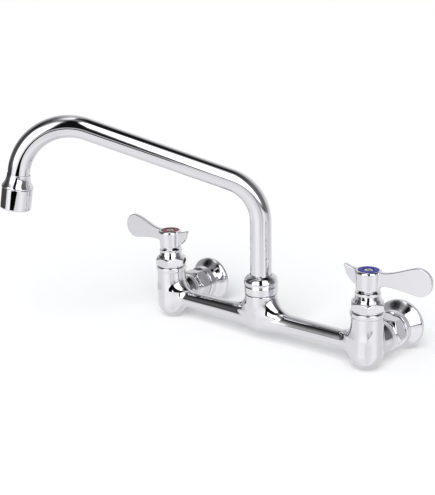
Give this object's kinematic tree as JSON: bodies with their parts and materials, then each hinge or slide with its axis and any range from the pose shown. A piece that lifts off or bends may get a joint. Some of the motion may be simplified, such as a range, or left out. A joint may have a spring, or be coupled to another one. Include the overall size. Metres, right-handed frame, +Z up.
{
  "type": "commercial wall faucet",
  "caption": "Chrome wall-mounted kitchen faucet with a tall swinging gooseneck spout, paddle lever handles with red and blue index rings, and bell wall flanges.",
  "frame": {"origin": "on the wall plane, midway between the two supply inlets and level with their axes", "axes": "-Y out of the wall towards the user, +X to the cold side, +Z up"},
  "size_m": [0.3208, 0.1974, 0.1971],
  "materials": {
    "chrome": "polished chrome plate",
    "brass": "machined, unplated",
    "steel": "bright stainless",
    "ceramic_white": "lapped",
    "ceramic_grey": "lapped",
    "rubber": "matt black",
    "nylon": "natural",
    "red_index": "satin red",
    "blue_index": "satin blue"
  },
  "bodies": {
    "body": {"body_casting": "chrome", "spout_nut": "chrome", "spout_thrust_washer": "nylon", "hot_bonnet": "chrome", "hot_bonnet_washer": "nylon", "hot_seat_washer": "rubber", "hot_fixed_disc": "ceramic_white", "hot_coupling_nut": "chrome", "hot_inlet_washer": "rubber", "hot_tailpiece": "brass", "hot_wall_flange": "chrome", "cold_bonnet": "chrome", "cold_bonnet_washer": "nylon", "cold_seat_washer": "rubber", "cold_fixed_disc": "ceramic_white", "cold_coupling_nut": "chrome", "cold_inlet_washer": "rubber", "cold_tailpiece": "brass", "cold_wall_flange": "chrome"},
    "spout": {"spout_tube": "chrome", "spout_spigot": "brass", "spout_seal_lower": "rubber", "spout_seal_upper": "rubber", "outlet_bell": "chrome", "aerator_shell": "chrome", "aerator_washer": "rubber", "aerator_screen": "steel", "aerator_insert": "nylon"},
    "hot_handle_set": {"hot_handle": "chrome", "hot_stem": "brass", "hot_stem_seal": "rubber", "hot_stem_clip": "steel", "hot_moving_disc": "ceramic_grey", "hot_index_ring": "red_index", "hot_handle_screw": "steel"},
    "cold_handle_set": {"cold_handle": "chrome", "cold_stem": "brass", "cold_stem_seal": "rubber", "cold_stem_clip": "steel", "cold_moving_disc": "ceramic_grey", "cold_index_ring": "blue_index", "cold_handle_screw": "steel"}
  },
  "joints": [
    {"name": "spout_swing", "type": "hinge", "parent": "body", "child": "spout", "pos_m": [0, -0.05715, 0], "axis": [0, 0, 1], "range_deg": [-39.7, 140.3]},
    {"name": "hot_handle_turn", "type": "hinge", "parent": "body", "child": "hot_handle_set", "pos_m": [-0.1016, -0.05715, 0], "axis": [0, 0, 1], "range_deg": [0, 90]},
    {"name": "cold_handle_turn", "type": "hinge", "parent": "body", "child": "cold_handle_set", "pos_m": [0.1016, -0.05715, 0], "axis": [0, 0, 1], "range_deg": [-90, 0]}
  ]
}
